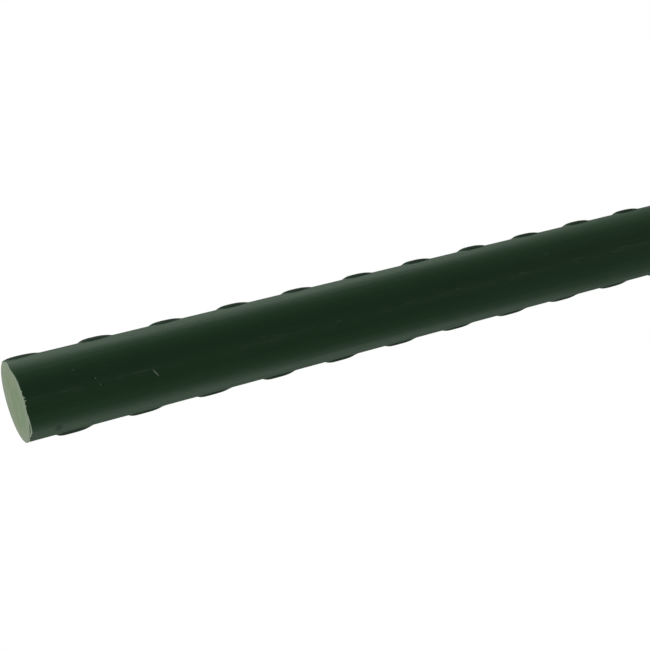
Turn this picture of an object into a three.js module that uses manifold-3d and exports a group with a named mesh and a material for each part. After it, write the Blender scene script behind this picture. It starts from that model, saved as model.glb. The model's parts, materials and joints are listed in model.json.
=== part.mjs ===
// A plant stake, upright as it stands in the soil: a steel tube in a green plastic sheath with two
// staggered rows of climbing nubs, a plug in the upper end and a pointed tip in the lower end.
// Millimetres, +Z up, the point of the tip at the origin, one row of nubs on +X and one on -X.
import * as THREE from 'three';
import { mergeVertices, toCreasedNormals } from 'three/addons/utils/BufferGeometryUtils.js';
import Module from 'manifold-3d';

const wasm = await Module();
wasm.setup();

// The stake as a whole.
const STAKE_LENGTH = 900; // point of the tip to the middle of the upper face
const SHEATH_DIAMETER = 16;
const SHEATH_WALL = 0.8;
const TUBE_WALL = 0.5;
const END_SKEW = 2.39; // degrees that the upper saw cut is out of square
const END_SKEW_TURN = 43.9; // degrees from +X towards +Y to the highest side of that cut

// The climbing nubs.
const NUB_HEIGHT = 0.52; // crest above the sheath, in the row on +X
const NUB_HEIGHT_LOW = 0.42; // crest above the sheath, in the row on -X
const NUB_WIDTH = 3; // across, where the nub meets the sheath
const NUB_BLUNT = 2.9; // crest to the blunt end, towards the plug
const NUB_TAPER = 4.15; // crest to the tapered end, towards the tip
const NUB_BLUNT_POWER = 4; // how square the blunt end falls away
const NUB_TAPER_POWER = 2.75; // how square the tapered end falls away
const NUB_RUN_UNDER = 1.06; // each end carries on to this share of its length, under the surface
const NUB_PITCH = 14.575; // crest to crest along a row
const NUB_FIRST = 2.35; // upper face to the first crest on +X
const NUB_STAGGER = 6.64; // the -X row starts this much lower

// The plug in the upper end.
const HEAD_THICKNESS = 0.7;
const HEAD_LAND = 0.1; // width of the sheath that is left round the head at the face
const PLUG_SPIGOT = 14; // length in the tube
const PLUG_ROOF = 1.6; // plastic between the upper face and the cored hollow

// The tip in the lower end.
const TIP_CONE = 30; // point to the foot of the collar
const TIP_COLLAR = 4;
const TIP_NOSE = 1.6; // radius of the blunt point
const TIP_SPIGOT = 22; // length in the tube
const TIP_CORE = 18; // depth of the cored hollow

// The spigots of plug and tip.
const SPIGOT_WALL = 1.3;
const SPIGOT_LEAD = 0.8; // lead-in chamfer
const RIB_COUNT = 6;
const RIB_WIDTH = 0.9;
const RIB_HEIGHT = 0.4; // above the spigot
const RIB_ROOT = 0.4; // how deep a rib is rooted in the spigot's wall

// Clearances.
const SHEATH_GAP = 0.05; // sheath to tube
const RIB_GAP = 0.1; // crushed rib to tube
const SEAT_GAP = 0.05; // under the plug's head, and over the tip's collar
const CONE_GAP = 0.07; // round the plug's head, across the stake

// Facets.
const SIDES = 48; // round the stake
const NUB_SIDES = 12; // round a whole nub, of which about a quarter stands proud
const NUB_STEPS = 2; // along each half of a nub
const NOSE_STEPS = 4;
const CREASE = 35; // degrees; edges blunter than this are shaded smooth
const WELD = 1e-4;

// What follows from these sizes.
const sheathRadius = SHEATH_DIAMETER / 2;
const sheathBore = sheathRadius - SHEATH_WALL;
const tubeRadius = sheathBore - SHEATH_GAP;
const tubeBore = tubeRadius - TUBE_WALL;
const spigotRadius = tubeBore - RIB_GAP - RIB_HEIGHT;
const tipLength = TIP_CONE + TIP_COLLAR;
const lowerCut = tipLength + SEAT_GAP; // lower ends of tube and sheath
const headUnderside = STAKE_LENGTH - HEAD_THICKNESS;
const upperCut = headUnderside - SEAT_GAP; // upper end of the tube and of the sheath's bore, on the axis
const mouthDepth = STAKE_LENGTH - upperCut;
const mouthRadius = sheathRadius - HEAD_LAND;
const mouthFlare = (mouthRadius - sheathBore) / mouthDepth;
const headRadius = mouthRadius - CONE_GAP;
const neckRadius = headRadius - mouthFlare * HEAD_THICKNESS;
const skewSlope = Math.tan(THREE.MathUtils.degToRad(END_SKEW));
const skewAlongX = skewSlope * Math.cos(THREE.MathUtils.degToRad(END_SKEW_TURN));
const skewAlongY = skewSlope * Math.sin(THREE.MathUtils.degToRad(END_SKEW_TURN));

// Keep positions only, join shared vertices and drop the slivers that a revolve leaves on its axis.
function weld(geometry) {
  const bare = new THREE.BufferGeometry();
  bare.setAttribute('position', geometry.getAttribute('position'));
  bare.setIndex(geometry.getIndex());
  const merged = mergeVertices(bare, WELD);
  const corners = merged.getIndex().array;
  const kept = [];
  for (let i = 0; i < corners.length; i += 3) {
    const [a, b, c] = corners.slice(i, i + 3);
    if (a !== b && b !== c && c !== a) {
      kept.push(a, b, c);
    }
  }
  merged.setIndex(kept);
  return merged;
}

function solidOf(geometry) {
  const welded = weld(geometry);
  return new wasm.Manifold(new wasm.Mesh({
    numProp: 3,
    vertProperties: new Float32Array(welded.getAttribute('position').array),
    triVerts: new Uint32Array(welded.getIndex().array),
  }));
}

function geometryOf(solid) {
  const { vertProperties, triVerts } = solid.getMesh();
  const geometry = new THREE.BufferGeometry();
  geometry.setAttribute('position', new THREE.BufferAttribute(vertProperties, 3));
  geometry.setIndex(new THREE.BufferAttribute(triVerts, 1));
  return geometry;
}

// Revolve an outline of [radius, height] pairs about the upright axis.
function revolve(outline, sides = SIDES) {
  const points = outline.map(([radius, height]) => new THREE.Vector2(radius, height));
  return new THREE.LatheGeometry(points, sides).rotateX(Math.PI / 2);
}

// A round bar or, with a bore, a tube with square ends.
function bar(radius, bottom, top) {
  return revolve([[0, bottom], [radius, bottom], [radius, top], [0, top]]);
}

function tube(bore, radius, bottom, top) {
  return revolve([[bore, bottom], [radius, bottom], [radius, top], [bore, top], [bore, bottom]]);
}

// Lean everything above a level to the plane of the upper saw cut. Upright walls stay upright.
function leanAbove(level, geometry) {
  const position = geometry.getAttribute('position');
  for (let i = 0; i < position.count; i += 1) {
    if (position.getZ(i) > level) {
      const rise = position.getX(i) * skewAlongX + position.getY(i) * skewAlongY;
      position.setZ(i, position.getZ(i) + rise);
    }
  }
  return geometry;
}

// The tube ends under the plug's head, in a plane that leans like the face.
function steelTube() {
  return leanAbove(STAKE_LENGTH / 2, tube(tubeBore, tubeRadius, lowerCut, upperCut));
}

// One nub is a grain-shaped body of revolution, sunk so far into the sheath that only its crest
// stands proud. Its round section passes through the crest and through both edges of the nub.
function nub(height) {
  const crestRadius = sheathRadius + height;
  const edge = Math.sqrt(sheathRadius ** 2 - (NUB_WIDTH / 2) ** 2);
  const axisRadius = (crestRadius ** 2 - sheathRadius ** 2) / (2 * (crestRadius - edge));
  const fullRadius = crestRadius - axisRadius;
  const radiusAt = (share, power) => fullRadius - height * share ** power;

  const outline = [];
  for (let step = NUB_STEPS; step > 0; step -= 1) {
    const share = (NUB_RUN_UNDER * step) / NUB_STEPS;
    outline.push([radiusAt(share, NUB_TAPER_POWER), -NUB_TAPER * share]);
  }
  for (let step = 0; step <= NUB_STEPS; step += 1) {
    const share = (NUB_RUN_UNDER * step) / NUB_STEPS;
    outline.push([radiusAt(share, NUB_BLUNT_POWER), NUB_BLUNT * share]);
  }
  outline.unshift([0, outline[0][1]]);
  outline.push([0, outline[outline.length - 1][1]]);
  return revolve(outline, NUB_SIDES).translate(axisRadius, 0, 0);
}

// The sheath is an endless nubbed bar with a bore, sawn to length. Where a saw cut meets a nub, the
// nub is cut through too. The bore flares out at the upper end, as a seat for the plug's head.
function plasticSheath() {
  const overrun = NUB_PITCH;
  const rows = [
    { turn: 0, height: NUB_HEIGHT, firstCrest: STAKE_LENGTH - NUB_FIRST },
    { turn: Math.PI, height: NUB_HEIGHT_LOW, firstCrest: STAKE_LENGTH - NUB_FIRST - NUB_STAGGER },
  ];
  let sheath = solidOf(bar(sheathRadius, lowerCut - overrun, upperCut + overrun));
  for (const { turn, height, firstCrest } of rows) {
    const rowNub = nub(height).rotateZ(turn);
    for (let crest = firstCrest; crest + NUB_BLUNT > lowerCut; crest -= NUB_PITCH) {
      sheath = sheath.add(solidOf(rowNub.clone().translate(0, 0, crest)));
    }
  }
  const bore = revolve([
    [0, lowerCut - 2 * overrun],
    [sheathBore, lowerCut - 2 * overrun],
    [sheathBore, upperCut],
    [mouthRadius + mouthFlare * mouthDepth, STAKE_LENGTH + mouthDepth],
    [0, STAKE_LENGTH + mouthDepth],
  ]);
  const kept = bar(sheathRadius + 2 * NUB_HEIGHT, lowerCut, STAKE_LENGTH);
  for (const cutter of [bore, kept]) {
    leanAbove(STAKE_LENGTH / 2, cutter);
  }
  return geometryOf(sheath.subtract(solidOf(bore)).intersect(solidOf(kept)));
}

// Crush ribs round a spigot, each with a lead-in slope at its free end. The free end is at `free`
// and the rooted end at `root`, as heights on the axis.
function crushRibs(root, free) {
  const inner = spigotRadius - RIB_ROOT;
  const outer = spigotRadius + RIB_HEIGHT;
  const lead = Math.sign(root - free) * SPIGOT_LEAD;
  const side = new THREE.Shape([
    new THREE.Vector2(inner, root),
    new THREE.Vector2(outer, root),
    new THREE.Vector2(outer, free + 2 * lead),
    new THREE.Vector2(spigotRadius, free + lead),
    new THREE.Vector2(inner, free + lead),
  ]);
  const rib = new THREE.ExtrudeGeometry(side, { depth: RIB_WIDTH, bevelEnabled: false })
    .translate(0, 0, -RIB_WIDTH / 2)
    .rotateX(Math.PI / 2);
  const ribs = [];
  for (let i = 0; i < RIB_COUNT; i += 1) {
    ribs.push(solidOf(rib.clone().rotateZ((2 * Math.PI * i) / RIB_COUNT)));
  }
  return ribs;
}

// A thin conical head that is flush with the end of the sheath and covers the end of the tube, on a
// cored spigot that opens downwards.
function endPlug() {
  const free = upperCut - PLUG_SPIGOT;
  const coreRadius = spigotRadius - SPIGOT_WALL;
  const body = revolve([
    [0, STAKE_LENGTH - PLUG_ROOF],
    [coreRadius, STAKE_LENGTH - PLUG_ROOF],
    [coreRadius, free],
    [spigotRadius - SPIGOT_LEAD, free],
    [spigotRadius, free + SPIGOT_LEAD],
    [spigotRadius, headUnderside],
    [neckRadius, headUnderside],
    [headRadius, STAKE_LENGTH],
    [0, STAKE_LENGTH],
  ]);
  const rooted = upperCut - SPIGOT_LEAD;
  let plug = solidOf(leanAbove(upperCut, body));
  for (const rib of crushRibs(rooted, free)) {
    plug = plug.add(rib);
  }
  return geometryOf(plug);
}

// A blunt cone under a collar that is flush with the sheath, on a cored spigot that opens upwards.
function groundTip() {
  const reach = Math.hypot(sheathRadius, TIP_CONE - TIP_NOSE);
  const halfAngle = Math.atan2(sheathRadius, TIP_CONE - TIP_NOSE) - Math.asin(TIP_NOSE / reach);
  const free = lowerCut + TIP_SPIGOT;
  const coreRadius = spigotRadius - SPIGOT_WALL;
  const nose = [];
  for (let step = 0; step <= NOSE_STEPS; step += 1) {
    const angle = -Math.PI / 2 + ((Math.PI / 2 - halfAngle) * step) / NOSE_STEPS;
    nose.push([TIP_NOSE * Math.cos(angle), TIP_NOSE + TIP_NOSE * Math.sin(angle)]);
  }
  nose[0][0] = 0;
  const body = revolve([
    ...nose,
    [sheathRadius, TIP_CONE],
    [sheathRadius, tipLength],
    [spigotRadius, tipLength],
    [spigotRadius, free - SPIGOT_LEAD],
    [spigotRadius - SPIGOT_LEAD, free],
    [coreRadius, free],
    [coreRadius, free - TIP_CORE],
    [0, free - TIP_CORE],
  ]);
  let tip = solidOf(body);
  for (const rib of crushRibs(lowerCut + SPIGOT_LEAD, free)) {
    tip = tip.add(rib);
  }
  return geometryOf(tip);
}

const galvanisedSteel = { color: 0xa3a8aa, roughness: 0.4, metalness: 1 };
const darkGreenPlastic = { color: 0x24382a, roughness: 0.42, metalness: 0 };
const palePlastic = { color: 0x7e8d73, roughness: 0.75, metalness: 0 };
const tipPlastic = { color: 0x1e2f23, roughness: 0.5, metalness: 0 };

const stake = new THREE.Group();
const pieces = [
  { name: 'steel_tube', geometry: steelTube(), finish: galvanisedSteel },
  { name: 'plastic_sheath', geometry: plasticSheath(), finish: darkGreenPlastic },
  { name: 'end_plug', geometry: endPlug(), finish: palePlastic },
  { name: 'ground_tip', geometry: groundTip(), finish: tipPlastic },
];
for (const { name, geometry, finish } of pieces) {
  const shaded = toCreasedNormals(weld(geometry), THREE.MathUtils.degToRad(CREASE));
  const mesh = new THREE.Mesh(shaded, new THREE.MeshStandardMaterial(finish));
  mesh.name = name;
  stake.add(mesh);
}

export default stake;
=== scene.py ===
# %% [markdown]
# # A plant stake
# A plant stake of this kind is a thin steel tube in a dark green plastic sheath. Two staggered rows of
# nubs on the sheath give ties and tendrils a hold. A pale plug closes the upper end, and a pointed tip
# closes the lower one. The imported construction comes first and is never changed: it says where each
# piece is, in metres, with the stake upright and the point of its tip at the origin. The lesson then
# makes a finer skin and a finish for every piece.

# %% Load the construction
import json
import math

import bpy
import numpy as np
from mathutils import Euler, Matrix, Vector


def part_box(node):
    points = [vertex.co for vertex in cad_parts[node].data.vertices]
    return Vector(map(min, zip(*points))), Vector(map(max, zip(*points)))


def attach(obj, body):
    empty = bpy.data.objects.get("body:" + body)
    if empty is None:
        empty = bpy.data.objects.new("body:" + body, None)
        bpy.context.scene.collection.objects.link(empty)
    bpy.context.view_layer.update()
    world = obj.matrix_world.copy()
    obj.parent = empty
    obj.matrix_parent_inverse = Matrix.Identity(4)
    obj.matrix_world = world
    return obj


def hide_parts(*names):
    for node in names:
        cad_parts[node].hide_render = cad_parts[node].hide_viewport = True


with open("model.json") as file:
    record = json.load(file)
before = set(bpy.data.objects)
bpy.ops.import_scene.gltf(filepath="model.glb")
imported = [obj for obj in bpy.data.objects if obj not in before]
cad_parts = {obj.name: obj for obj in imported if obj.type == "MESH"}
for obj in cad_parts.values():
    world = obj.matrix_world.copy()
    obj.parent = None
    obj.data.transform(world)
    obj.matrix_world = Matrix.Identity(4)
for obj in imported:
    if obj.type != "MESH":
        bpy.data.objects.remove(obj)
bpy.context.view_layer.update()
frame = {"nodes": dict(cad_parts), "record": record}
print("pieces of the construction:", ", ".join(sorted(frame["nodes"])))

# %% [markdown]
# ## Sizes
# A model is easy to change when each size has one home. The large sizes live in the construction, so
# they are read from the boxes of its pieces. The mount on the upper face tells how long the stake is
# and how far the saw cut there leans out of square. Small sizes are named below, where they are first
# needed.

# %% Read the large sizes
MM = 0.001

sheath_low, sheath_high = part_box("plastic_sheath")
sheath_radius = sheath_high.y
sheath_foot = sheath_low.z
nub_heights = [sheath_high.x - sheath_radius, -sheath_low.x - sheath_radius]

top_face = next(mount for mount in frame["record"]["mounts"] if mount["name"] == "top_face")
stake_length = top_face["pos_m"][2]
slope_x = -top_face["axis"][0] / top_face["axis"][2]
slope_y = -top_face["axis"][1] / top_face["axis"][2]
print(f"stake {stake_length / MM:.0f} mm long, {2 * sheath_radius / MM:.1f} mm across")

# %% [markdown]
# ## The camera
# The photograph looks down on the upper end from close by, with the stake running out of the picture.
# The stake stands upright here, so the camera is rolled on its side to lay it across the image. Its
# place is given in diameters of the stake, which is how it was worked out: from the two outlines, which
# draw together with distance, and from the flattened circle of the end face. It stands a few degrees
# round from the middle between the rows of nubs, because one row shows more of its flank than the other.

# %% Camera
CAMERA_AWAY = 14.849  # diameters from the axis
CAMERA_ABOVE = 2.579  # diameters above the upper face
CAMERA_AROUND = math.radians(3.5)  # from the -Y side towards +X
CAMERA_DOWN = math.radians(24.295)
CAMERA_YAW = math.radians(0.103)
CAMERA_ROLL = math.radians(-104.353)
CAMERA_LENS = 68.66  # millimetres, for a sensor 36 mm wide

camera_data = bpy.data.cameras.new("camera")
camera_data.sensor_width = 36
camera_data.lens = CAMERA_LENS
camera_data.clip_start = 10 * MM
camera = bpy.data.objects.new("camera", camera_data)
camera_place = Vector((0, -CAMERA_AWAY, CAMERA_ABOVE)) * 2 * sheath_radius
camera_place.rotate(Euler((0, 0, CAMERA_AROUND)))
camera_place.z += stake_length
camera_turn = Euler((math.pi / 2 - CAMERA_DOWN, 0, CAMERA_YAW + CAMERA_AROUND)).to_matrix()
camera_turn = camera_turn @ Matrix.Rotation(CAMERA_ROLL, 3, "Z")
camera.matrix_world = Matrix.Translation(camera_place) @ camera_turn.to_4x4()
bpy.context.scene.collection.objects.link(camera)
bpy.context.scene.camera = camera
print("camera at", [round(value, 4) for value in camera_place])

# %% [markdown]
# ## A skin over rings
# Every piece of the stake is round, so all of them are made in one way: a stack of rings of points,
# with a skin of four-sided faces stretched from each ring to the next. A Screw modifier on a drawn
# profile would do for plainly turned pieces. Rings can do more: they swell where a nub stands, grow
# ribs, and lean with the saw cut. Angle 0 faces the camera side, -Y, and a quarter turn faces +X.

# %% Rings
def ring(angles, radius, height):
    """Points round the axis. Radius and height are numbers, or one value for each angle."""
    x = radius * np.sin(angles)
    y = -radius * np.cos(angles)
    return np.stack([x, y, np.broadcast_to(height, angles.shape)], axis=1)


def point_on_axis(height):
    """A ring of one point."""
    return np.array([[0.0, 0.0, height]])


# %% Skins
SHARP_EDGE = math.radians(38)


def band(low, low_count, high, high_count):
    """Faces between two rings, from the number of each one's first point and its count of points."""
    here = np.arange(max(low_count, high_count))
    after = np.roll(here, -1)
    lower = [low + here % low_count, low + after % low_count]
    upper = [high + after % high_count, high + here % high_count]
    if low_count == 1:
        lower.pop()
    if high_count == 1:
        upper.pop()
    return np.stack(lower + upper, axis=1).tolist()


def skin(name, rings, closed=False):
    """An object with a skin over rings, given up the outside. A ring of one point closes an end."""
    counts = [len(points) for points in rings]
    starts = np.cumsum([0] + counts)
    pairs = [(number, number + 1) for number in range(len(rings) - 1)]
    if closed:
        pairs.append((len(rings) - 1, 0))
    faces = []
    for low, high in pairs:
        faces += band(starts[low], counts[low], starts[high], counts[high])
    mesh = bpy.data.meshes.new(name)
    mesh.from_pydata(np.concatenate(rings).tolist(), [], faces)
    mesh.shade_smooth()
    mesh.set_sharp_from_angle(angle=SHARP_EDGE)
    piece = bpy.data.objects.new(name, mesh)
    bpy.context.scene.collection.objects.link(piece)
    print(f"{name}: {len(rings)} rings, {len(mesh.polygons)} faces")
    return piece


# %% [markdown]
# ## The shape of a nub
# The sheath is drawn over the tube while it is hot, and two toothed rollers then press it into nubs.
# Each nub is blunt towards the plug and runs out in a slower taper towards the tip. The two rollers are
# worn differently: one row stands higher, and the other has squarer ends. One modelled nub could be copied
# by an Array modifier, but then its foot would cut into the round sheath with a hard line. Here a formula
# gives the height of the nubs at any place, and a smooth maximum lets the foot of each nub flow into the
# sheath, as pressed plastic does. No two nubs fill quite alike.

# %% Height of the nubs
NUB_WIDTH = 3.8 * MM
NUB_TAPER = 4.15 * MM  # crest to the tapered end
NUB_FLANK_POWER = 2.8  # how square the flanks are
NUB_FILLET = 0.05 * MM
NUB_PITCH = 14.575 * MM
NUB_FIRST = 2.35 * MM  # upper face to the first crest on +X
NUB_STAGGER = 6.64 * MM
NUB_UNEVEN = 0.12  # spread of the nubs' heights, as a share
NUB_REACH = 1.2  # a nub ends this far above its crest, as a share of its blunt end

# angle of the row, first crest, crest to the blunt end, how square the blunt and the tapered end are,
# and the heights of the first nub and of the others, as shares of the construction's
HIGH_ROW = {"angle": 90, "below": NUB_FIRST, "blunt": 2.75 * MM, "powers": (3.2, 2.75),
            "first": 0.74, "others": 1.0}
LOW_ROW = {"angle": -90, "below": NUB_FIRST + NUB_STAGGER, "blunt": 3.05 * MM, "powers": (5.0, 3.5),
           "first": 1.25, "others": 1.08}

nub_fill = np.random.default_rng(32091)
nub_count = math.ceil(stake_length / NUB_PITCH)
nub_rows = [HIGH_ROW, LOW_ROW]
for row, height in zip(nub_rows, nub_heights):
    row["heights"] = height * row["others"] * (1 + NUB_UNEVEN * nub_fill.uniform(-1, 1, nub_count))
    row["heights"][0] = height * row["first"]
    print(f"{nub_count} nubs at {row['angle']} degrees, {height / MM:.2f} mm high")


# %% Relief of the nubs
def smooth_maximum(first, second, blend):
    """The larger of two values, rounded over where they are within the blend of each other."""
    share = np.clip(0.5 + 0.5 * (first - second) / blend, 0, 1)
    return second + share * (first - second) + blend * share * (1 - share)


def turn_between(angles, middle):
    """Signed angles from a middle one, the short way round."""
    return (angles - middle + math.pi) % (2 * math.pi) - math.pi


def nub_relief(angles, heights):
    """How far the nubs stand above the round sheath."""
    relief = np.zeros_like(angles)
    for row in nub_rows:
        first_crest = stake_length - row["below"]
        number = np.floor((first_crest + NUB_REACH * row["blunt"] - heights) / NUB_PITCH).astype(int)
        number = np.clip(number, 0, nub_count - 1)
        above_crest = heights - first_crest + number * NUB_PITCH
        blunt = (np.maximum(above_crest, 0) / row["blunt"]) ** row["powers"][0]
        taper = (np.maximum(-above_crest, 0) / NUB_TAPER) ** row["powers"][1]
        turn = np.abs(turn_between(angles, math.radians(row["angle"])))
        flank = (turn * sheath_radius / (NUB_WIDTH / 2)) ** NUB_FLANK_POWER
        rise = row["heights"][number] * (1 - blunt - taper - flank)
        relief += smooth_maximum(rise, 0, NUB_FILLET)
    return relief


# %% [markdown]
# ## The seam of the sheath
# Where the two rollers meet, midway between the rows, they leave a hair of plastic standing in a broken
# line. Once in every turn of a tooth they pinch it, sometimes into one short ridge and sometimes into two
# lips that lie one beside and a little below the other, and no two pinches are alike. A bump map would do
# from afar, but the light here comes from the side and would give it away, so the seam is real relief,
# a few hundredths of a millimetre high. Random numbers with a fixed seed give each pinch its place and size.

# %% Height of the seam
SEAM_ANGLE = math.radians(1.5)
SEAM_HEIGHT = 0.02 * MM
SEAM_HALF = 0.13 * MM  # half the width of a line
SEAM_WAVES = (7.3 * MM, 2.9 * MM)  # the line breaks off where two waves of these lengths run low
PINCH_FIRST = 7.0 * MM  # upper face to the first pinch
PINCH_STRAY = 3.0 * MM  # how far a pinch may lie from its even place
PINCH_HALF = 3.2 * MM  # half the length of the longest lip
PINCH_SHIFT = 1.6 * MM  # middle of a pinch to the middle of a lip, along the seam
PINCH_SPREAD = 0.38 * MM  # middle of the seam to a lip of the widest pinch
PINCH_HEIGHT = 0.075 * MM

pinch_chance = np.random.default_rng(4353).uniform(0, 1, (6, nub_count))
pinch_below = PINCH_FIRST + NUB_PITCH * np.arange(nub_count) + PINCH_STRAY * (2 * pinch_chance[0] - 1)
pinch_half = PINCH_HALF * (0.25 + 0.75 * pinch_chance[1])
pinch_spread = PINCH_SPREAD * pinch_chance[2]
pinch_shift = PINCH_SHIFT * (2 * pinch_chance[3] - 1)
lip_heights = {-1: PINCH_HEIGHT * pinch_chance[4], 1: PINCH_HEIGHT * pinch_chance[5]}
print(f"{nub_count} pinches on the seam, up to {PINCH_HEIGHT / MM:.3f} mm high")


def seam_relief(angles, heights):
    """A hair-fine, broken ridge between the rows of nubs, with a pinch in every pitch."""
    across = np.sin(angles - SEAM_ANGLE) * sheath_radius
    below = stake_length - heights
    broken = np.sin(below / SEAM_WAVES[0]) + np.sin(below / SEAM_WAVES[1] + 1) + 0.4
    relief = SEAM_HEIGHT * np.clip(broken, 0, 1.5) * np.exp(-(across / SEAM_HALF) ** 2)
    number = np.clip(np.rint((below - PINCH_FIRST) / NUB_PITCH), 0, nub_count - 1).astype(int)
    for side, height in lip_heights.items():
        along = below - pinch_below[number] - side * pinch_shift[number]
        share = np.clip(1 - (along / pinch_half[number]) ** 2, 0, 1)
        lip = np.exp(-((across - side * pinch_spread[number] * share) / SEAM_HALF) ** 2)
        relief = np.maximum(relief, height[number] * share ** 0.5 * lip)
    return relief


# %% [markdown]
# ## The sheath
# The sheath is a tube with an upper end that leans with the saw cut and flares inside, as a seat for the
# plug. Its columns of points stand close together over the nubs and at the seams, and further apart on
# the plain sides. Its rings stand close together where the blunt end of a nub rises, and closest at the
# upper end, which is looked at most. So the faces go where the shape needs them. The saw left the cut edge
# a little uneven: on one side it stands proud of the face by a hair, and at the first nub it has a burr.

# %% Sizes of the sheath
SHEATH_BORE = sheath_radius - 0.8 * MM
MOUTH_RADIUS = sheath_radius - 0.1 * MM
HEAD_THICKNESS = 0.7 * MM
SEAT_GAP = 0.05 * MM
RING_STEP = 1.9 * MM
RING_STEP_FINE = 0.75 * MM
FINE_REACH = 200 * MM  # rings stand closer over this much of the upper end
RING_LEAST = 0.15 * MM
BLUNT_SHARES = (0.55, 0.72, 0.86, 0.95, 1.04)  # rings on the blunt end of a nub
CUT_ROUND = 0.04 * MM  # how far the edges of the saw cuts are rubbed round
LEAN_REACH = 20 * MM  # rings lean with the saw cut over this much of the upper end

upper_cut = stake_length - HEAD_THICKNESS - SEAT_GAP
print(f"upper end of the tube at {upper_cut / MM:.2f} mm")


# %% Columns and rings of the sheath
def sheath_columns():
    """Angles of the columns, in radians: over the nubs, on the plain sides and at the seams."""
    half_nub = math.degrees(NUB_WIDTH / 2 / sheath_radius)
    over_nub = half_nub * np.sin(np.linspace(0, math.pi / 2, 7))
    beside_nub = half_nub * np.array([1.12, 1.3])
    plain_side = np.linspace(22, 83, 9)
    quarter = np.concatenate([over_nub, beside_nub, plain_side])
    front_seam = math.degrees(SEAM_ANGLE) + np.linspace(-4.2, 4.2, 13)
    back_seam = math.degrees(SEAM_ANGLE) + 180 + np.linspace(-3.6, 3.6, 7)
    around = [90 - quarter, 90 + quarter, 270 - quarter, 270 + quarter, front_seam, back_seam]
    return np.radians(np.unique(np.round(np.concatenate(around) % 360, 4)))


def sheath_heights():
    """Heights of the rings, from the foot to the saw cut, on the axis."""
    low, high = sheath_foot + CUT_ROUND, stake_length - CUT_ROUND
    fine = high - FINE_REACH
    heights = [np.arange(low, fine, RING_STEP), np.arange(fine, high, RING_STEP_FINE), [high]]
    for row in nub_rows:
        crests = stake_length - row["below"] - NUB_PITCH * np.arange(nub_count)
        heights += [crests + share * row["blunt"] for share in BLUNT_SHARES]
    heights = np.unique(np.concatenate(heights))
    heights = heights[(heights >= low) & (heights <= high)]
    return heights[np.diff(heights, append=high + RING_STEP) > RING_LEAST]


def leaning(angles, height, radius, share=1.0):
    """A level height, tilted towards the plane of the saw cut."""
    return height + share * radius * (slope_x * np.sin(angles) - slope_y * np.cos(angles))


# %% The cut edge of the sheath
PROUD_SPAN = (36, 54, 69)  # where the edge stands proud of the face, in degrees
PROUD_HEIGHT = 0.26 * MM
BURR_SPAN = (86, 97, 107)
BURR_REACH = 0.12 * MM
EDGE_STEP = 0.004 * MM


def over_span(angles, span, power):
    """A hump over a span of angles: 0 at its first and last angle, and 1 at its middle one."""
    return np.interp(np.degrees(turn_between(angles, 0)), span, (0, 1, 0)) ** power


# %% Make the sheath
columns = sheath_columns()


def sheath_ring(height, inset=0.0, lift=0.0):
    """A ring of the outside, drawn in by the inset and raised by the lift."""
    share = np.clip(1 - (stake_length - height) / LEAN_REACH, 0, 1) ** 2
    heights = leaning(columns, height, sheath_radius, share)
    radius = sheath_radius + nub_relief(columns, heights) + seam_relief(columns, heights)
    return ring(columns, radius - inset, heights + lift)


sheath_rings = [ring(columns, SHEATH_BORE, sheath_foot), sheath_ring(sheath_foot, CUT_ROUND)]
sheath_rings += [sheath_ring(height) for height in sheath_heights()]
proud = EDGE_STEP + PROUD_HEIGHT * over_span(columns, PROUD_SPAN, 0.7)
burr = BURR_REACH * over_span(columns, BURR_SPAN, 1.0)
sheath_rings.append(sheath_ring(stake_length, CUT_ROUND - burr, proud))
sheath_rings.append(ring(columns, MOUTH_RADIUS, leaning(columns, stake_length, MOUTH_RADIUS) + proud))
sheath_rings.append(ring(columns, MOUTH_RADIUS, leaning(columns, stake_length, MOUTH_RADIUS)))
sheath_rings.append(ring(columns, SHEATH_BORE, leaning(columns, upper_cut, SHEATH_BORE)))
sheath = skin("sheath", sheath_rings, closed=True)
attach(sheath, "root")
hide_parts("plastic_sheath")

# %% [markdown]
# ## Ribbed spigots
# The plug and the tip are moulded pieces. Each has a hollow spigot that is pressed into the tube, with
# six ribs that crush a little and hold it there. A rib is a stretch of the ring that stands further out,
# so the columns get a pair at each flank of each rib, and the skin stays in one piece.

# %% Sizes of the spigots
SPIGOT_RADIUS = 6.15 * MM
SPIGOT_WALL = 1.3 * MM
SPIGOT_LEAD = 0.8 * MM
RIB_COUNT = 6
RIB_HEIGHT = 0.4 * MM
RIB_HALF_WIDTH = 0.45 * MM
RIB_HALF = math.asin(RIB_HALF_WIDTH / SPIGOT_RADIUS)  # half the angle that a rib takes up
RIB_FLANK = math.radians(0.8)
CORE_RADIUS = SPIGOT_RADIUS - SPIGOT_WALL

rib_angles = math.pi / 2 + np.arange(RIB_COUNT) * 2 * math.pi / RIB_COUNT
print(f"{RIB_COUNT} ribs on a spigot {2 * SPIGOT_RADIUS / MM:.1f} mm across")


# %% Rings of a spigot
def rib_columns():
    """Angles of the flanks of the ribs."""
    offsets = [RIB_HALF, RIB_HALF + RIB_FLANK]
    return np.concatenate([rib_angles + sign * offset for offset in offsets for sign in (-1, 1)])


def all_columns(*groups):
    """Columns from several lists of angles in radians, each angle once."""
    turns = np.concatenate(groups) % (2 * math.pi)
    return np.radians(np.unique(np.round(np.degrees(turns), 3) % 360))


def ribbed(angles, share=1.0):
    """Radius of the spigot with its ribs raised by a share of their height."""
    from_rib = np.min([np.abs(turn_between(angles, middle)) for middle in rib_angles], axis=0)
    return SPIGOT_RADIUS + share * RIB_HEIGHT * (from_rib < RIB_HALF + RIB_FLANK / 2)


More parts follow.
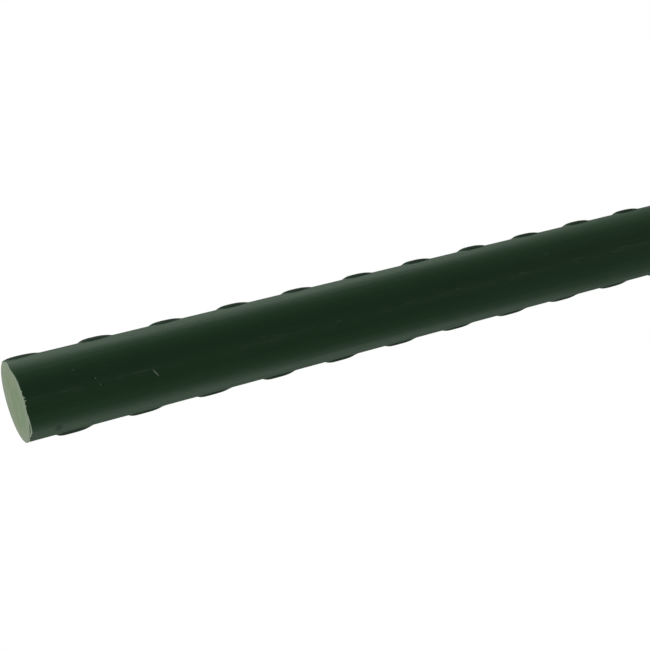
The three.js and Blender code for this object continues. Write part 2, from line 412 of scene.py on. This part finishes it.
def spigot_rings(angles, root, free):
    """Rings of a spigot's outside, from its root to its free end."""
    lead = math.copysign(SPIGOT_LEAD, root - free)
    return [
        ring(angles, SPIGOT_RADIUS, root),
        ring(angles, ribbed(angles), root - lead),
        ring(angles, ribbed(angles), free + 2 * lead),
        ring(angles, ribbed(angles, 0), free + lead),
        ring(angles, SPIGOT_RADIUS - SPIGOT_LEAD, free),
    ]


# %% [markdown]
# ## The plug
# The plug's thin conical head sits in the flared mouth of the sheath and was sawn off with it, so the
# pale face runs right to the edge. The saw left the face faintly wavy. On the camera side it dragged
# a few ragged teeth of plastic over the edge, and further round it smeared out a longer lip, which has
# torn away from the face along a fine gap. These marks are real shape, so they are moved points and not
# paint.

# %% Marks of the saw on the plug
SMEARS = [  # first, furthest and last angle in degrees, and how far the plastic hangs over the edge
    (-100, -78, -59, 0.20 * MM),
    (-59, -48, -16, 0.47 * MM),
    (-7.0, -5.0, -3.5, 0.14 * MM),
    (-1.3, 0.9, 3.1, 0.20 * MM),
    (1.1, 2.0, 2.9, 0.62 * MM),
    (3.9, 5.7, 7.7, 0.38 * MM),
    (12.5, 14.5, 16.5, 0.12 * MM),
]
SMEAR_STAND = 0.05 * MM  # how far the smeared plastic stands off the sheath
TORN_SPAN = (-53, -44, -32)  # where the lip has torn away from the face, in degrees
TORN_GAP = 0.14 * MM
FACE_WAVE = 0.02 * MM
WAVE_LENGTHS = (1.9 * MM, 3.1 * MM, 2.3 * MM)
CALM_RIM = 1.5 * MM  # width of the rim in which the waves die away


def smears(angles):
    """How far plastic from the face hangs over the edge."""
    hanging = [reach * over_span(angles, span, 0.75) for *span, reach in SMEARS]
    return np.max(hanging, axis=0)


def torn_share(angles):
    """1 where the lip has torn away from the face, 0 elsewhere."""
    return over_span(angles, TORN_SPAN, 0.3)


def lift_to_cut(points):
    """Lift the points of a level ring to the leaning, slightly wavy saw cut."""
    x, y = points[:, 0], points[:, 1]
    first, second, third = WAVE_LENGTHS
    wave = np.sin(x / first + np.sin(y / second)) * np.sin(y / third + 0.7)
    calm_rim = np.clip((MOUTH_RADIUS - np.hypot(x, y)) / CALM_RIM, 0, 1)
    points[:, 2] += slope_x * x + slope_y * y + FACE_WAVE * wave * calm_rim
    return points


# %% Head of the plug
PLUG_SPIGOT = 14 * MM
PLUG_ROOF = 1.6 * MM
HEAD_RADIUS = MOUTH_RADIUS - 0.01 * MM
EDGE_INSET = 0.06 * MM
HANG_FULL = 0.05 * MM  # what hangs further than this lies wholly outside the edge
LIP_ROUND = (0.03 * MM, 0.02 * MM, 0.01 * MM)  # how far the lip is rounded, from the outside in

fine_columns = np.radians(np.arange(-102, 18, 0.6))  # over the marks of the saw
plug_columns = all_columns(np.radians(np.arange(0, 360, 3)), fine_columns, rib_columns())
plug_free = upper_cut - PLUG_SPIGOT
underside = stake_length - HEAD_THICKNESS
print(f"{len(SMEARS)} smears, {len(plug_columns)} columns")


def head_ring(radius, height):
    """A ring of the head, lifted to the saw cut."""
    return lift_to_cut(ring(plug_columns, radius, height))


def head_rings():
    """The head from its underside, over what hangs at the edge, to the middle of the face."""
    hang = smears(plug_columns)
    out = np.clip(hang / HANG_FULL, 0, 1)  # 1 where something hangs over the edge
    torn = torn_share(plug_columns)
    gap = TORN_GAP * torn
    against = HEAD_RADIUS + out * (sheath_radius - HEAD_RADIUS)
    outside = against + out * SMEAR_STAND
    behind = outside - torn * (outside - sheath_radius + EDGE_INSET)  # under the skin of the sheath
    edge = against - torn * (against - HEAD_RADIUS)
    rings = [
        head_ring(SPIGOT_RADIUS, underside),
        head_ring(HEAD_RADIUS - HEAD_THICKNESS, underside),
        head_ring(HEAD_RADIUS, stake_length - 5 * EDGE_STEP - EDGE_INSET * out),
        head_ring(against, stake_length - 4 * EDGE_STEP - hang),
        head_ring(outside, stake_length - 3 * EDGE_STEP - 0.85 * hang),
        head_ring(outside, stake_length - 2 * EDGE_STEP - LIP_ROUND[0] * out - gap),
        head_ring(behind, stake_length - EDGE_STEP - LIP_ROUND[1] * out - 0.7 * gap),
        head_ring(edge, stake_length - LIP_ROUND[2] * out),
    ]
    for radius in np.linspace(HEAD_RADIUS - EDGE_INSET, 0.6 * MM, 13):
        rings.append(head_ring(radius, stake_length))
    return rings


# %% Make the plug
plug_rings = [point_on_axis(stake_length - PLUG_ROOF)]
plug_rings.append(ring(plug_columns, CORE_RADIUS, stake_length - PLUG_ROOF))
plug_rings.append(ring(plug_columns, CORE_RADIUS, plug_free))
plug_rings += reversed(spigot_rings(plug_columns, upper_cut - SPIGOT_LEAD, plug_free))
plug_rings += head_rings()
plug_rings.append(point_on_axis(stake_length))
plug = skin("plug", plug_rings)
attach(plug, "root")
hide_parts("end_plug")

# %% [markdown]
# ## The ground tip
# The tip parts the soil when the stake is pushed in: a blunt nose, a long cone and a short collar that
# is flush with the sheath. It is turned like the plug, with the corner between cone and collar rounded
# by a small curve, and the two halves of its mould have left a fine line down both sides.

# %% Outline of the ground tip
TIP_CONE = 30 * MM
TIP_LENGTH = sheath_foot - SEAT_GAP
TIP_NOSE = 1.6 * MM
TIP_SPIGOT = 22 * MM
TIP_CORE = 18 * MM
SHOULDER_ROUND = 2.2 * MM
MOULD_LINE = 0.05 * MM
MOULD_HALF = math.radians(1.0)

tip_columns = all_columns(np.radians(np.arange(0, 360, 4)), rib_columns(),
                          MOULD_HALF * np.array([-1.5, -0.7, 0.7, 1.5]),
                          math.pi + MOULD_HALF * np.array([-1.5, -0.7, 0.7, 1.5]))


def soft_corner(before, corner, after, steps=6):
    """Points on a curve that leaves the line to a corner and joins the line away from it."""
    before, corner, after = np.array(before), np.array(corner), np.array(after)
    shares = np.linspace(0, 1, steps)
    return [before * (1 - s) ** 2 + 2 * corner * s * (1 - s) + after * s ** 2 for s in shares]


def tip_outline():
    """Radius and height from the nose up to the upper edge of the collar."""
    reach = math.hypot(sheath_radius, TIP_CONE - TIP_NOSE)
    half_angle = math.atan2(sheath_radius, TIP_CONE - TIP_NOSE) - math.asin(TIP_NOSE / reach)
    outline = []
    for angle in np.linspace(0, math.pi / 2 - half_angle, 10)[1:]:
        outline.append((TIP_NOSE * math.sin(angle), TIP_NOSE - TIP_NOSE * math.cos(angle)))
    flank = np.array([math.sin(half_angle), math.cos(half_angle)])
    corner = np.array([sheath_radius, TIP_CONE])
    cone_end = corner - SHOULDER_ROUND * flank
    nose_end = np.array(outline[-1])
    for share in np.linspace(0, 1, 7)[1:-1]:
        outline.append((1 - share) * nose_end + share * cone_end)
    outline += soft_corner(cone_end, corner, (sheath_radius, TIP_CONE + SHOULDER_ROUND))
    outline.append((sheath_radius, TIP_LENGTH - CUT_ROUND))
    outline.append((sheath_radius - CUT_ROUND, TIP_LENGTH))
    return outline


# %% Make the ground tip
from_mould_line = np.abs(np.sin(tip_columns)) / math.sin(MOULD_HALF)
mould_line = MOULD_LINE * np.exp(-from_mould_line ** 2)
tip_free = sheath_foot + TIP_SPIGOT
tip_rings = [point_on_axis(0)]
tip_rings += [ring(tip_columns, radius + mould_line * radius / sheath_radius, height)
              for radius, height in tip_outline()]
tip_rings += spigot_rings(tip_columns, TIP_LENGTH, tip_free)
tip_rings.append(ring(tip_columns, CORE_RADIUS, tip_free))
tip_rings.append(ring(tip_columns, CORE_RADIUS, tip_free - TIP_CORE))
tip_rings.append(point_on_axis(tip_free - TIP_CORE))
tip = skin("tip", tip_rings)
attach(tip, "root")
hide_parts("ground_tip")

# %% [markdown]
# ## Tools for finishes
# A finish is a small graph of nodes. A few helpers keep such a graph readable: they add a node and fill
# its sockets, do a sum, bring a value to another range and blend two colours. Others start and place a
# node group, or start a material. A group is a graph with named inputs and outputs that several
# materials can share, each with its own values.

# %% Node helpers
def add_node(tree, kind, sockets=None, **settings):
    """A node with its settings. A socket takes a plain value, or another node's output as a link."""
    node = tree.nodes.new(kind)
    for setting, value in settings.items():
        setattr(node, setting, value)
    for name, value in (sockets or {}).items():
        if isinstance(value, bpy.types.NodeSocket):
            tree.links.new(value, node.inputs[name])
        else:
            node.inputs[name].default_value = value
    return node


def calculate(tree, operation, *values):
    """The result of one sum."""
    node = add_node(tree, "ShaderNodeMath", dict(enumerate(values)), operation=operation)
    return node.outputs[0]


def rescale(tree, value, low, high, to_low=0.0, to_high=1.0):
    """A value between low and high, brought to another range and held there."""
    sockets = {"Value": value, "From Min": low, "From Max": high, "To Min": to_low, "To Max": to_high}
    return add_node(tree, "ShaderNodeMapRange", sockets, interpolation_type="SMOOTHSTEP").outputs[0]


def blend_colours(tree, share, first, second):
    """The first colour, going over to the second by a share."""
    colours = {0: share, 6: first, 7: second}
    return add_node(tree, "ShaderNodeMix", colours, data_type="RGBA").outputs[2]


# %% Helpers for groups and materials
def start_group(name, inputs, outputs):
    """An empty node group with number sockets. Returns it with its input and output nodes."""
    group = bpy.data.node_groups.new(name, "ShaderNodeTree")
    for socket in inputs:
        group.interface.new_socket(socket, in_out="INPUT", socket_type="NodeSocketFloat")
    for socket in outputs:
        group.interface.new_socket(socket, in_out="OUTPUT", socket_type="NodeSocketFloat")
    return group, group.nodes.new("NodeGroupInput").outputs, group.nodes.new("NodeGroupOutput")


def place_group(tree, group, sockets=None):
    """The outputs of a group, placed with its own values."""
    return add_node(tree, "ShaderNodeGroup", sockets, node_tree=group).outputs


def start_material(name, **sockets):
    """A material with one Principled BSDF, and the values that are the same all over set on it."""
    material = bpy.data.materials.new(name)
    material.use_nodes = True
    shader = material.node_tree.nodes["Principled BSDF"]
    for socket, value in sockets.items():
        shader.inputs[socket.replace("_", " ")].default_value = value
    return material, material.node_tree, shader


# %% [markdown]
# ## Where on the stake
# Some marks sit at a known place, so the finishes need a map of the stake: how far below the upper face
# a point lies, at which angle, and how far from the axis. Unwrapping the skin would give such a map too,
# but the stake is round and upright, so object coordinates and a little geometry do without a seam.

# %% Group: place on the stake
place_on_stake, _, outlet = start_group("place on the stake", [], ["Below top", "Around", "Off axis"])
spot = add_node(place_on_stake, "ShaderNodeTexCoord").outputs["Object"]
axes = add_node(place_on_stake, "ShaderNodeSeparateXYZ", {0: spot}).outputs
towards_camera = calculate(place_on_stake, "MULTIPLY", axes[1], -1.0)
below_top = calculate(place_on_stake, "SUBTRACT", stake_length, axes[2])
around = calculate(place_on_stake, "ARCTAN2", axes[0], towards_camera)
y_squared = calculate(place_on_stake, "MULTIPLY", axes[1], axes[1])
squares = calculate(place_on_stake, "MULTIPLY_ADD", axes[0], axes[0], y_squared)
off_axis = calculate(place_on_stake, "SQRT", squares)
for socket, value in (("Below top", below_top), ("Around", around), ("Off axis", off_axis)):
    place_on_stake.links.new(value, outlet.inputs[socket])
print("group", place_on_stake.name)

# %% [markdown]
# ## Drawn lines
# Plastic that is drawn through a die, and steel that is rolled, both carry fine lines along the stake.
# Noise that is stretched a hundredfold along Z looks like that. The width and the length of a line are
# inputs, so the sheath and the tube can share the group.

# %% Group: drawn lines
drawn_lines, inlet, outlet = start_group("drawn lines", ["Width", "Length"], ["Lines"])
spot = add_node(drawn_lines, "ShaderNodeTexCoord").outputs["Object"]
width, length = inlet["Width"], inlet["Length"]
grain = add_node(drawn_lines, "ShaderNodeCombineXYZ", {0: width, 1: width, 2: length}).outputs[0]
stretched = add_node(drawn_lines, "ShaderNodeVectorMath", {0: spot, 1: grain}, operation="DIVIDE")
noise_values = {"Vector": stretched.outputs[0], "Scale": 1.0, "Detail": 3.0}
noise = add_node(drawn_lines, "ShaderNodeTexNoise", noise_values)
drawn_lines.links.new(rescale(drawn_lines, noise.outputs[0], 0.3, 0.7), outlet.inputs["Lines"])
print("group", drawn_lines.name)

# %% [markdown]
# ## Patches
# No plastic is evenly coloured: pigment, handling and bloom leave soft patches. Noise of a chosen size
# gives them, and every finish below uses it.

# %% Group: patches
patches, inlet, outlet = start_group("patches", ["Size"], ["Patches"])
spot = add_node(patches, "ShaderNodeTexCoord").outputs["Object"]
sized = add_node(patches, "ShaderNodeVectorMath", {0: spot, 1: inlet["Size"]}, operation="DIVIDE")
noise_values = {"Vector": sized.outputs[0], "Scale": 1.0, "Detail": 4.0}
noise = add_node(patches, "ShaderNodeTexNoise", noise_values)
patches.links.new(rescale(patches, noise.outputs[0], 0.3, 0.7), outlet.inputs["Patches"])
print("group", patches.name)

# %% [markdown]
# ## Scuffs
# Stakes rub against each other in the bundle, which leaves short pale rubs that run mostly lengthwise.
# They are the peaks of stretched noise, let through only where a second, wider noise is high, so that
# they come in loose clusters and not as an even coat.

# %% Group: scuffs
scuffs, inlet, outlet = start_group("scuffs", ["Width", "Length", "Cluster"], ["Scuffs"])
rubs = place_group(scuffs, drawn_lines, {"Width": inlet["Width"], "Length": inlet["Length"]})["Lines"]
clusters = place_group(scuffs, patches, {"Size": inlet["Cluster"]})["Patches"]
fine_rubs = rescale(scuffs, rubs, 0.86, 1.0)
rubbed = calculate(scuffs, "MULTIPLY", fine_rubs, rescale(scuffs, clusters, 0.55, 0.95))
scuffs.links.new(rubbed, outlet.inputs["Scuffs"])
print("group", scuffs.name)

# %% [markdown]
# ## Single marks
# A few marks on this stake can be named one by one: a slanting pale scratch, some specks, and small pits,
# painted dark as painted shade in their hollows. Each is a soft-edged ellipse at its own place, turned by
# its own slant.

# %% Group: single mark
MARK_SOCKETS = ["Below top", "Around", "Mark below", "Mark around", "Half length", "Half width", "Slant"]

single_mark, inlet, outlet = start_group("single mark", MARK_SOCKETS, ["Mark"])
along = calculate(single_mark, "SUBTRACT", inlet["Below top"], inlet["Mark below"])
turned = calculate(single_mark, "SUBTRACT", inlet["Around"], inlet["Mark around"])
across = calculate(single_mark, "MULTIPLY", turned, sheath_radius)
cosine = calculate(single_mark, "COSINE", inlet["Slant"])
sine = calculate(single_mark, "SINE", inlet["Slant"])
across_sine = calculate(single_mark, "MULTIPLY", across, sine)
across_cosine = calculate(single_mark, "MULTIPLY", across, cosine)
lengthwise = calculate(single_mark, "MULTIPLY_ADD", along, cosine, across_sine)
along_sine = calculate(single_mark, "MULTIPLY", along, sine)
sideways = calculate(single_mark, "SUBTRACT", across_cosine, along_sine)
end_share = calculate(single_mark, "DIVIDE", lengthwise, inlet["Half length"])
side_share = calculate(single_mark, "DIVIDE", sideways, inlet["Half width"])
side_squared = calculate(single_mark, "MULTIPLY", side_share, side_share)
distance = calculate(single_mark, "MULTIPLY_ADD", end_share, end_share, side_squared)
single_mark.links.new(rescale(single_mark, distance, 0.4, 1.6, 1.0, 0.0), outlet.inputs["Mark"])
print("group", single_mark.name)

# %% [markdown]
# ## Dark green plastic
# The sheath is a satin, very dark green. Its gloss shows only where it is seen edge-on, so the shader's
# own reflection does that, tinted a little green like the haze under the skin of such plastic. The nodes
# add what breaks the gloss: drawn lines in the colour, the gloss and the surface, duller nubs where the
# rollers gripped, a pale broken line on the seam in a faintly paler, streaked band, and the marks. The nubs
# and the pits are also painted a darker green: that is painted shade, for the shade on the nubs' flanks
# and in the pits.

# %% Marks and colours of the green plastic
MARKS = [  # below the upper face, angle, half length, half width, slant, strength
    (25.6 * MM, -5.5, 0.85 * MM, 0.13 * MM, -57, 0.5),
    (14.0 * MM, 7.9, 0.13 * MM, 0.12 * MM, 0, 0.4),
    (14.75 * MM, -2.1, 0.14 * MM, 0.20 * MM, 0, 0.2),
    (10.4 * MM, 26.5, 0.3 * MM, 0.16 * MM, 10, 0.1),
    (48.5 * MM, 6, 0.7 * MM, 0.22 * MM, -15, 0.03),
    (119.4 * MM, 23.5, 0.7 * MM, 0.25 * MM, 15, 0.05),
]
# pits, painted dark with painted shade in their hollows; columns as above
PITS = [  # as above
    (5.9 * MM, -54.5, 0.65 * MM, 1.0 * MM, 0, 0.4),
    (13.6 * MM, 8.5, 0.16 * MM, 0.16 * MM, 0, 0.8),
    (15.1 * MM, -4.1, 0.18 * MM, 0.18 * MM, 0, 0.8),
]
GREEN = (0.0165, 0.0510, 0.0185, 1)
GREEN_PALER = (0.0195, 0.0570, 0.0215, 1)
GREEN_SEAM = (0.031, 0.078, 0.029, 1)
# painted shade: a darker green for the shade on the nubs' flanks and in the pits
PAINTED_SHADE_GREEN = (0.0093, 0.0220, 0.0107, 1)
RUBBED_GREEN = (0.075, 0.110, 0.075, 1)
SCRATCHED = (0.42, 0.47, 0.40, 1)
print(len(MARKS), "marks and", len(PITS), "pits")

# %% Material: dark green plastic
green_plastic, tree, shader = start_material("dark green plastic", Specular_IOR_Level=0.3,
                                             Specular_Tint=(0.7, 1.0, 0.8, 1))
place = place_group(tree, place_on_stake)
lines = place_group(tree, drawn_lines, {"Width": 0.16 * MM, "Length": 28 * MM})["Lines"]
bands = place_group(tree, drawn_lines, {"Width": 1.1 * MM, "Length": 90 * MM})["Lines"]
cloud = place_group(tree, patches, {"Size": 9 * MM})["Patches"]
rubs = place_group(tree, scuffs, {"Width": 0.13 * MM, "Length": 2.5 * MM, "Cluster": 11 * MM})["Scuffs"]
from_rows = calculate(tree, "ABSOLUTE", calculate(tree, "SINE", place["Around"]))
standing = calculate(tree, "SUBTRACT", place["Off axis"], sheath_radius)
raised = rescale(tree, standing, 0.0, 0.15 * MM)
# the nubs' mask: it dulls their gloss and paints shade on them
nub_shade_and_dullness = calculate(tree, "MULTIPLY", raised, rescale(tree, from_rows, 0.9, 0.95))
gripped = rescale(tree, place_group(tree, patches, {"Size": 0.9 * MM})["Patches"], 0, 1, 0.85, 1.0)
nub_shade_and_dullness = calculate(tree, "MULTIPLY", nub_shade_and_dullness, gripped)
on_seam = rescale(tree, standing, 0.008 * MM, 0.05 * MM)
on_seam = calculate(tree, "MULTIPLY", on_seam, rescale(tree, from_rows, 0.1, 0.2, 1.0, 0.0))
smear = rescale(tree, place_group(tree, patches, {"Size": 5 * MM})["Patches"], 0.45, 0.9)
smear = calculate(tree, "MULTIPLY", smear, rescale(tree, from_rows, 0.01, 0.11, 1.0, 0.0))
streaks = calculate(tree, "MULTIPLY_ADD", lines, 0.3, 0.2)
near_seam = calculate(tree, "MULTIPLY", streaks, rescale(tree, from_rows, 0.0, 0.3, 1.0, 0.0))

# %% Colour of the green plastic
tint = calculate(tree, "MULTIPLY_ADD", bands, 0.5, calculate(tree, "MULTIPLY", cloud, 0.5))
colour = blend_colours(tree, tint, GREEN, GREEN_PALER)
colour = blend_colours(tree, near_seam, colour, GREEN_SEAM)
# painted shade: the nubs are painted darker for the shade on their flanks and their missing sheen
colour = blend_colours(tree, nub_shade_and_dullness, colour, PAINTED_SHADE_GREEN)
colour = blend_colours(tree, calculate(tree, "MULTIPLY", rubs, 0.22), colour, RUBBED_GREEN)
colour = blend_colours(tree, calculate(tree, "MULTIPLY", on_seam, 0.6), colour, RUBBED_GREEN)
colour = blend_colours(tree, calculate(tree, "MULTIPLY", smear, 0.15), colour, RUBBED_GREEN)


def mark_here(below, around, half_length, half_width, slant):
    """The mask of one mark, with its angles given in degrees."""
    values = {"Below top": place["Below top"], "Around": place["Around"], "Mark below": below,
              "Mark around": math.radians(around), "Half length": half_length,
              "Half width": half_width, "Slant": math.radians(slant)}
    return place_group(tree, single_mark, values)["Mark"]


for *where, strength in MARKS:
    share = calculate(tree, "MULTIPLY", mark_here(*where), strength)
    colour = blend_colours(tree, share, colour, SCRATCHED)
# painted shade in the pits: they are painted darker, as well as dulled and sunk by the bump
pit_depth_and_shade = 0.0
for *where, strength in PITS:
    pit_depth_and_shade = calculate(tree, "MULTIPLY_ADD", mark_here(*where), strength, pit_depth_and_shade)
colour = blend_colours(tree, pit_depth_and_shade, colour, PAINTED_SHADE_GREEN)
tree.links.new(colour, shader.inputs["Base Color"])

# %% Gloss and fine relief of the green plastic
dull = calculate(tree, "MULTIPLY_ADD", lines, 0.12, 0.44)
dull = calculate(tree, "MULTIPLY_ADD", calculate(tree, "MAXIMUM", nub_shade_and_dullness, pit_depth_and_shade), 0.4, dull)
tree.links.new(dull, shader.inputs["Roughness"])
surface = calculate(tree, "SUBTRACT", calculate(tree, "MULTIPLY_ADD", bands, 2.5, lines), pit_depth_and_shade)
bump = add_node(tree, "ShaderNodeBump", {"Height": surface, "Strength": 0.5, "Distance": 0.012 * MM})
tree.links.new(bump.outputs[0], shader.inputs["Normal"])
sheath.data.materials.append(green_plastic)
print("material", green_plastic.name, "with", len(tree.nodes), "nodes")

# %% [markdown]
# ## Pale plastic
# The plug is a chalky grey-green without gloss. Its sawn face shows cloudy patches in a greener and a
# browner tone, and small flecks. Towards its rim it is painted paler and greyer, which is a painted
# highlight along the edge. What the saw has torn is paler still, because plastic whitens where it is
# stretched.

# %% Material: pale plastic
PALE = (0.190, 0.246, 0.146, 1)
PALE_LIGHT = (0.250, 0.306, 0.206, 1)
PALE_GREENER = (0.172, 0.256, 0.146, 1)
PAINTED_RIM_HIGHLIGHT = (0.268, 0.308, 0.244, 1)
PALE_TORN = (0.47, 0.58, 0.40, 1)

pale_plastic, tree, shader = start_material("pale plastic", Specular_IOR_Level=0.2)
cloud = place_group(tree, patches, {"Size": 3.2 * MM})["Patches"]
tone = place_group(tree, patches, {"Size": 6.5 * MM})["Patches"]
fleck = place_group(tree, patches, {"Size": 1.0 * MM})["Patches"]
grit = place_group(tree, patches, {"Size": 0.5 * MM})["Patches"]
off_axis = place_group(tree, place_on_stake)["Off axis"]
# painted highlight: the face is painted paler and greyer towards its rim
rim_highlight_share = rescale(tree, off_axis, 4.0 * MM, 7.8 * MM, 0.0, 0.6)
torn = rescale(tree, off_axis, sheath_radius - 0.02 * MM, sheath_radius + 0.03 * MM)
tint = calculate(tree, "MULTIPLY_ADD", fleck, 0.3, calculate(tree, "MULTIPLY", cloud, 0.7))
colour = blend_colours(tree, tint, PALE, PALE_LIGHT)
colour = blend_colours(tree, calculate(tree, "MULTIPLY", tone, 0.7), colour, PALE_GREENER)
colour = blend_colours(tree, rim_highlight_share, colour, PAINTED_RIM_HIGHLIGHT)
colour = blend_colours(tree, torn, colour, PALE_TORN)
tree.links.new(colour, shader.inputs["Base Color"])
tree.links.new(rescale(tree, grit, 0, 1, 0.72, 0.9), shader.inputs["Roughness"])
surface = calculate(tree, "MULTIPLY_ADD", grit, 0.4, cloud)
bump = add_node(tree, "ShaderNodeBump", {"Height": surface, "Strength": 0.5, "Distance": 0.04 * MM})
tree.links.new(bump.outputs[0], shader.inputs["Normal"])
plug.data.materials.append(pale_plastic)
print("material", pale_plastic.name, "with", len(tree.nodes), "nodes")

# %% [markdown]
# ## Tip plastic
# The tip is moulded in a darker green than the sheath. Its mould was lightly textured, so its gloss is
# even and low, and soil and stones leave pale rubs on it.

# %% Material: tip plastic
TIP_GREEN = (0.0150, 0.0300, 0.0175, 1)
TIP_GREEN_PALER = (0.0220, 0.0400, 0.0240, 1)

tip_plastic, tree, shader = start_material("tip plastic", Specular_IOR_Level=0.35)
cloud = place_group(tree, patches, {"Size": 6 * MM})["Patches"]
grain = place_group(tree, patches, {"Size": 0.35 * MM})["Patches"]
rubs = place_group(tree, scuffs, {"Width": 0.2 * MM, "Length": 3 * MM, "Cluster": 5 * MM})["Scuffs"]
colour = blend_colours(tree, cloud, TIP_GREEN, TIP_GREEN_PALER)
colour = blend_colours(tree, calculate(tree, "MULTIPLY", rubs, 0.7), colour, RUBBED_GREEN)
tree.links.new(colour, shader.inputs["Base Color"])
tree.links.new(rescale(tree, cloud, 0, 1, 0.48, 0.6), shader.inputs["Roughness"])
bump = add_node(tree, "ShaderNodeBump", {"Height": grain, "Strength": 0.5, "Distance": 0.02 * MM})
tree.links.new(bump.outputs[0], shader.inputs["Normal"])
tip.data.materials.append(tip_plastic)
print("material", tip_plastic.name, "with", len(tree.nodes), "nodes")

# %% [markdown]
# ## Galvanised steel
# The tube is hidden while both ends are closed, but it is a real piece and gets its real finish: zinc,
# in dull and bright patches, over the lines that the rollers left in the strip.

# %% Material: galvanised steel
ZINC_DULL = (0.42, 0.44, 0.46, 1)
ZINC_BRIGHT = (0.62, 0.64, 0.65, 1)

galvanised_steel, tree, shader = start_material("galvanised steel", Metallic=1.0)
spangle = place_group(tree, patches, {"Size": 2.5 * MM})["Patches"]
lines = place_group(tree, drawn_lines, {"Width": 0.2 * MM, "Length": 60 * MM})["Lines"]
tree.links.new(blend_colours(tree, spangle, ZINC_DULL, ZINC_BRIGHT), shader.inputs["Base Color"])
gloss = calculate(tree, "MULTIPLY_ADD", lines, 0.15, rescale(tree, spangle, 0, 1, 0.42, 0.28))
tree.links.new(gloss, shader.inputs["Roughness"])
bump = add_node(tree, "ShaderNodeBump", {"Height": lines, "Strength": 0.4, "Distance": 0.01 * MM})
tree.links.new(bump.outputs[0], shader.inputs["Normal"])
frame["nodes"]["steel_tube"].material_slots[0].material = galvanised_steel
print("material", galvanised_steel.name, "with", len(tree.nodes), "nodes")

# %% [markdown]
# ## Floor, backdrop and light
# The picture has a white ground and soft light: brightest on the side of the +X nubs, weaker on the other
# side, and dim from the front. A softbox stands high on either side, for the flanks of the sheath and the
# face of the plug, and a tall strip behind the stake on either side draws its pale edges. The front has
# only the dim world. The camera sees a white world instead, so the white ground adds no light of its own.
# No metal or glass shows here, so no reflection needs to see that white. The pale floor takes the stake's
# shadow, and for the camera it fades into the white ground towards its edge.

# %% Floor
FLOOR_RADIUS = 0.5
FLOOR_PALE = (0.78, 0.78, 0.77, 1)
FLOOR_PALER = (0.82, 0.82, 0.81, 1)
FADE_LEAST = 0.2  # share of white ground in the middle of the floor

floor_angles = np.linspace(0, 2 * math.pi, 96, endpoint=False)
floor = skin("floor", [ring(floor_angles, FLOOR_RADIUS, 0.0), point_on_axis(0.0)])
floor_paint, tree, shader = start_material("floor paint", Roughness=0.9, Specular_IOR_Level=0.1)
speckle = place_group(tree, patches, {"Size": 40 * MM})["Patches"]
pale = blend_colours(tree, speckle, FLOOR_PALE, FLOOR_PALER)
tree.links.new(pale, shader.inputs["Base Color"])
off_axis = place_group(tree, place_on_stake)["Off axis"]
seen = add_node(tree, "ShaderNodeLightPath").outputs["Is Camera Ray"]
faded = calculate(tree, "MULTIPLY", seen, rescale(tree, off_axis, 0.0, FLOOR_RADIUS, FADE_LEAST, 1.0))
white = add_node(tree, "ShaderNodeEmission", {"Strength": 1.0})
both = add_node(tree, "ShaderNodeMixShader", {0: faded, 1: shader.outputs[0], 2: white.outputs[0]})
tree.links.new(both.outputs[0], tree.nodes["Material Output"].inputs["Surface"])
floor.data.materials.append(floor_paint)

# %% World
WHITE = (1, 1, 1, 1)
DIM_LEVEL = 0.21  # strength of the world as a light

studio = bpy.data.worlds.new("studio")
studio.use_nodes = True
tree = studio.node_tree
tree.nodes.clear()
dim = add_node(tree, "ShaderNodeBackground", {"Color": WHITE, "Strength": DIM_LEVEL})
white = add_node(tree, "ShaderNodeBackground", {"Color": WHITE, "Strength": 1.0})
seen = add_node(tree, "ShaderNodeLightPath").outputs["Is Camera Ray"]
ground = add_node(tree, "ShaderNodeMixShader", {0: seen, 1: dim.outputs[0], 2: white.outputs[0]})
add_node(tree, "ShaderNodeOutputWorld", {"Surface": ground.outputs[0]})
bpy.context.scene.world = studio
bpy.context.scene.view_settings.view_transform = "Standard"
print("world", studio.name, "at strength", DIM_LEVEL)

# %% Lamps
def softbox(name, place, aim, width, height, power):
    """A soft rectangular lamp that the camera doesn't see."""
    lamp = bpy.data.lights.new(name, "AREA")
    lamp.shape = "RECTANGLE"
    lamp.size = width
    lamp.size_y = height
    lamp.energy = power
    holder = bpy.data.objects.new(name, lamp)
    holder.location = place
    holder.rotation_euler = (Vector(aim) - Vector(place)).to_track_quat("-Z", "Y").to_euler()
    holder.visible_camera = False
    bpy.context.scene.collection.objects.link(holder)
    print(f"{name}: {power} W")


def beside(azimuth, distance, height):
    """A place round the stake. Azimuth 0 is where the camera stands, and +90 is to its right."""
    angle = math.radians(azimuth) + CAMERA_AROUND
    return Vector((distance * math.sin(angle), -distance * math.cos(angle), height))


HIGH_AWAY, HIGH_UP, HIGH_SIZE = 0.71, 1.53, 0.7
STRIP_AWAY, STRIP_UP = 0.8, 0.75
STRIP_WIDTH, STRIP_HEIGHT = 0.4, 1.0

high_aim = Vector((0, 0, 0.82))
strip_aim = (0, 0, STRIP_UP)
bright_high, weak_high = beside(100, HIGH_AWAY, HIGH_UP), beside(-80, HIGH_AWAY, HIGH_UP)
bright_strip, weak_strip = beside(122, STRIP_AWAY, STRIP_UP), beside(-117, STRIP_AWAY, STRIP_UP)
softbox("high lamp, bright side", bright_high, high_aim, HIGH_SIZE, HIGH_SIZE, 7.8)
softbox("high lamp, weak side", weak_high, high_aim, HIGH_SIZE, HIGH_SIZE, 3.9)
softbox("strip, bright side", bright_strip, strip_aim, STRIP_WIDTH, STRIP_HEIGHT, 2.15)
softbox("strip, weak side", weak_strip, strip_aim, STRIP_WIDTH, STRIP_HEIGHT, 1.3)
